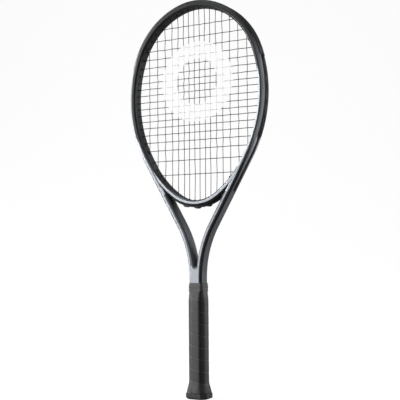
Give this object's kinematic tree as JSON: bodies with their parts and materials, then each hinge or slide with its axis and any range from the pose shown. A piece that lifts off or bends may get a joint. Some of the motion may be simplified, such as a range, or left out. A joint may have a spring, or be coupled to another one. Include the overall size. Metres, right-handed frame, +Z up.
{
  "type": "tennis racket",
  "caption": "Strung tennis racket with a hollow hairpin frame, separate throat bridge, grommet strips, woven string bed, wrapped octagonal handle and a butt cap with a push-in door.",
  "frame": {"origin": "centre of the butt end, on the middle plane of the racket", "axes": "+Z runs up the shaft to the tip of the hoop, +X is across the face and -Y is the front face"},
  "size_m": [0.2665, 0.037, 0.6858],
  "materials": {
    "frame_paint": "satin",
    "guard_nylon": "matte",
    "string_poly": "gloss",
    "pallet_foam": "matte",
    "core_foam": "matte",
    "slug_rubber": "matte",
    "cap_plastic": "satin",
    "staple_steel": "satin",
    "grip_wrap": "matte",
    "tape": "satin",
    "collar_rubber": "matte"
  },
  "bodies": {
    "racket": {"frame_tube": "frame_paint", "throat_bridge": "frame_paint", "bumper_guard": "guard_nylon", "grommet_strip_right": "guard_nylon", "grommet_strip_left": "guard_nylon", "throat_grommet_strip": "guard_nylon", "main_strings": "string_poly", "cross_strings": "string_poly", "main_string_knots": "string_poly", "cross_string_knots": "string_poly", "handle_pallet_front": "pallet_foam", "handle_pallet_back": "pallet_foam", "foam_core_left": "core_foam", "foam_core_right": "core_foam", "balance_slugs": "slug_rubber", "butt_cap": "cap_plastic", "cap_staples": "staple_steel", "grip_wrap": "grip_wrap", "wrap_tack": "staple_steel", "finishing_tape": "tape", "grip_collar": "collar_rubber"},
    "door": {"butt_door": "cap_plastic"}
  },
  "joints": [
    {"name": "door_pull", "type": "slide", "parent": "racket", "child": "door", "axis": [0, 0, -1], "range_m": [0, 0.03]}
  ]
}
